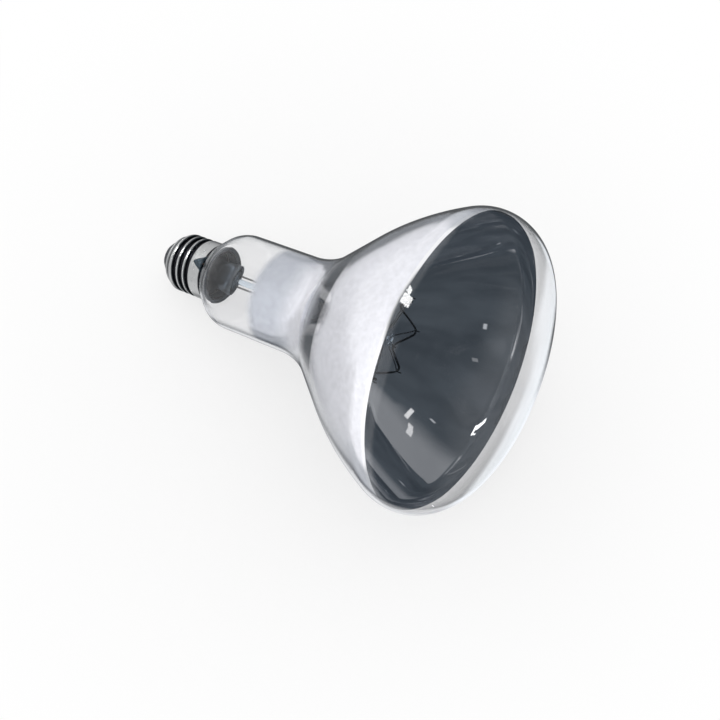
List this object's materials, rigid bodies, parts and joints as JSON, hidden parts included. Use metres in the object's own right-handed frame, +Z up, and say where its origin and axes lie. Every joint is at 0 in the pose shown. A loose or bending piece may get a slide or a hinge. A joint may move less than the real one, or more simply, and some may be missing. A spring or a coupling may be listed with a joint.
{
  "type": "infrared heat bulb",
  "caption": "Reflector heat lamp bulb: clear-faced flared glass with a mirrored cone, crown filament and right-hand screw cap, lying on its side.",
  "frame": {"origin": "centre of the box's base, on the table that the lamp lies on", "axes": "+X from the cap towards the face, +Z up; the lamp's axis lies in the XZ plane and dips towards the cap, as the lamp comes to rest on its belly and its cap"},
  "size_m": [0.1766, 0.1244, 0.1193],
  "materials": {
    "bulb_glass": "clear, glossy",
    "stem_glass": "clear, slightly grey",
    "reflector_film": "vapour-deposited aluminium",
    "tungsten_coil": "dark drawn wire",
    "molybdenum_wire": "drawn wire",
    "nickel_wire": "drawn wire",
    "copper_wire": "drawn wire",
    "cap_shell": "nickel plated, rolled",
    "cap_glass": "black poured glass",
    "contact_brass": "stamped",
    "solder": "dull, flowed",
    "burnt_solder": "dark, flux-stained",
    "basing_cement": "matt"
  },
  "bodies": {
    "root": {"glass_envelope": "bulb_glass", "mirror_film": "reflector_film", "stem_flare_and_press": "stem_glass", "exhaust_tube": "stem_glass", "arbor_rod": "stem_glass", "filament": "tungsten_coil", "front_hook_1": "molybdenum_wire", "front_hook_2": "molybdenum_wire", "front_hook_3": "molybdenum_wire", "front_hook_4": "molybdenum_wire", "front_hook_5": "molybdenum_wire", "front_hook_6": "molybdenum_wire", "rear_hook_1": "molybdenum_wire", "rear_hook_2": "molybdenum_wire", "rear_hook_3": "molybdenum_wire", "rear_hook_4": "molybdenum_wire", "rear_hook_5": "molybdenum_wire", "inner_lead_a": "nickel_wire", "inner_lead_b": "nickel_wire", "centre_lead_wire": "copper_wire", "side_lead_wire": "copper_wire", "screw_shell": "cap_shell", "cap_cement": "basing_cement", "cap_insulator": "cap_glass", "centre_contact": "contact_brass", "centre_solder": "solder", "side_solder": "burnt_solder"}
  },
  "joints": []
}
